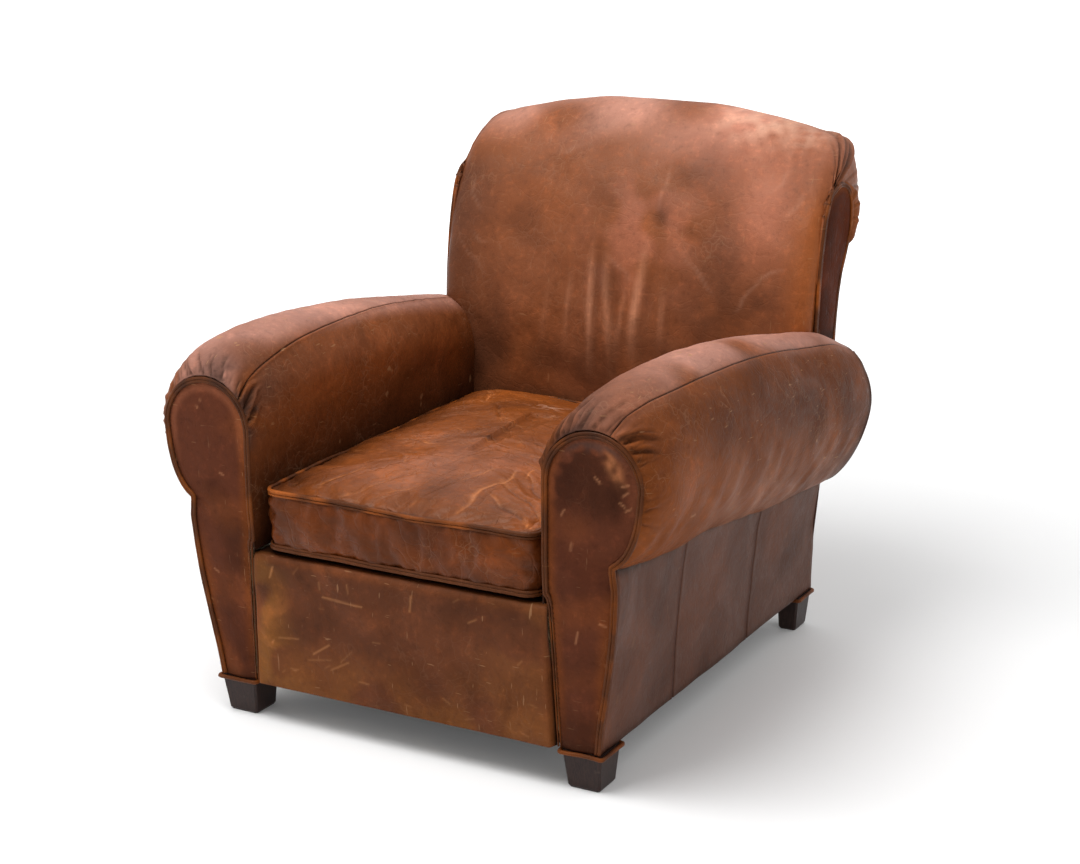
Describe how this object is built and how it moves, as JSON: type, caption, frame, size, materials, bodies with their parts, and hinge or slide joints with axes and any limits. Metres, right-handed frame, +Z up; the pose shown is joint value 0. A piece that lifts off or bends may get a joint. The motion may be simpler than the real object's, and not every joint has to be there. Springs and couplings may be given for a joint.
{
  "type": "worn leather club chair",
  "caption": "Low upholstered armchair in worn brown leather, with rolled arms, a rolled high back, a loose seat cushion and tapered block feet.",
  "frame": {"origin": "on the floor under the middle of the chair, at the bottom centre of its bounding box", "axes": "+Z up, the seat's front faces -Y, +X is the viewer's right when the viewer faces the front of the chair"},
  "size_m": [0.8664, 0.9793, 0.8914],
  "materials": {
    "arm_leather": "waxed brown leather, worn pink and grey on top",
    "back_leather": "waxed brown leather, mottled, scuffed at the crest",
    "seat_leather": "glossy orange-brown leather with a crease network",
    "dark_leather": "dark brown leather, worn pale at its edges",
    "rail_leather": "brown leather, scratched, yellowed along the bottom",
    "side_leather": "dull grey-brown leather",
    "piping": "rubbed leather piping",
    "foot_wood": "dark stained hardwood, satin lacquer",
    "frame_wood": "raw kiln-dried hardwood",
    "padding": "foam and cotton wadding",
    "black_cloth": "thin black lining cloth",
    "steel": "zinc plated steel"
  },
  "bodies": {
    "root": {"arm_board_left": "frame_wood", "arm_board_right": "frame_wood", "arm_cover_left": "arm_leather", "arm_cover_right": "arm_leather", "arm_facing_board_left": "frame_wood", "arm_facing_board_right": "frame_wood", "arm_front_panel_left": "dark_leather", "arm_front_panel_right": "dark_leather", "arm_pad_left": "padding", "arm_pad_right": "padding", "arm_piping_left": "piping", "arm_piping_right": "piping", "back_cross_rail": "frame_wood", "back_gusset_left": "dark_leather", "back_gusset_right": "dark_leather", "back_pad": "padding", "back_piping_left": "piping", "back_piping_right": "piping", "back_post_left": "frame_wood", "back_post_right": "frame_wood", "back_rail": "frame_wood", "corner_block_front_left": "frame_wood", "corner_block_front_right": "frame_wood", "corner_block_rear_left": "frame_wood", "corner_block_rear_right": "frame_wood", "crest_rail": "frame_wood", "cushion_core": "padding", "cushion_cover": "seat_leather", "cushion_piping_bottom": "piping", "cushion_piping_top": "piping", "cushion_zip": "steel", "deck_cover": "black_cloth", "deck_pad": "padding", "dust_cover": "black_cloth", "foot_bolt_front_left": "steel", "foot_bolt_front_right": "steel", "foot_bolt_rear_left": "steel", "foot_bolt_rear_right": "steel", "foot_front_left": "foot_wood", "foot_front_right": "foot_wood", "foot_rear_left": "foot_wood", "foot_rear_right": "foot_wood", "foot_welt_front_left": "piping", "foot_welt_front_right": "piping", "foot_welt_rear_left": "piping", "foot_welt_rear_right": "piping", "front_post_left": "frame_wood", "front_post_right": "frame_wood", "front_rail": "frame_wood", "front_rail_cover": "rail_leather", "inside_back_cover": "back_leather", "outside_arm_panel_left": "side_leather", "outside_arm_panel_right": "side_leather", "outside_back_cover": "side_leather", "seat_spring_1": "steel", "seat_spring_2": "steel", "seat_spring_3": "steel", "seat_spring_4": "steel", "side_rail_left": "frame_wood", "side_rail_right": "frame_wood"}
  },
  "joints": []
}
